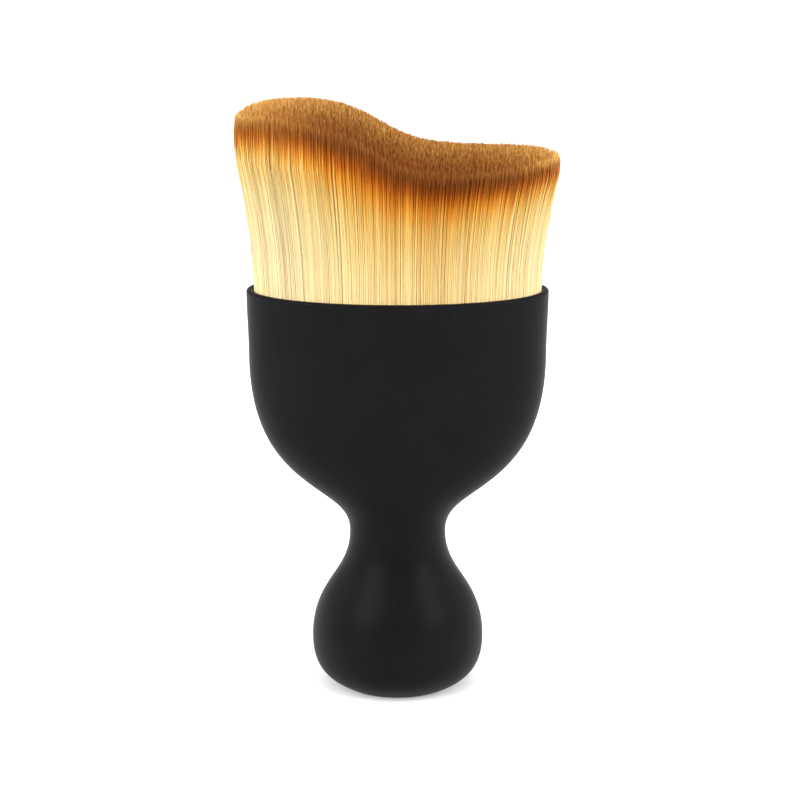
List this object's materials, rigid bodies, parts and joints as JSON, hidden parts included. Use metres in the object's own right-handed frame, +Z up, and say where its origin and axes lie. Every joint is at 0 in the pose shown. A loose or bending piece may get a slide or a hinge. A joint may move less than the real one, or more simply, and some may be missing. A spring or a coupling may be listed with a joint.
{
  "type": "body brush",
  "caption": "Standing body brush with a goblet-shaped moulded handle and a dense, wave-cut head of fine two-tone fibres.",
  "frame": {"origin": "middle of the flat base, on the surface that the brush stands on", "axes": "+Z up from the base to the hair tips, X along the wide side of the head, Y through its thin side"},
  "size_m": [0.0488, 0.0246, 0.0929],
  "materials": {
    "handle_soft_touch": "moulded plastic with a soft-touch matt black coating",
    "cup_aluminium": "plain drawn sheet",
    "potting_resin": "cured clear-amber resin",
    "filament": "fine synthetic filament, honey blond with dyed brown tips",
    "ballast_steel": "plain turned bar",
    "cap_plastic": "moulded black plastic, fine matt texture"
  },
  "bodies": {
    "root": {"handle_shell": "handle_soft_touch", "bristle_cup": "cup_aluminium", "resin_block": "potting_resin", "bristle_bundle": "filament", "ballast_slug": "ballast_steel", "base_cap": "cap_plastic"}
  },
  "joints": []
}
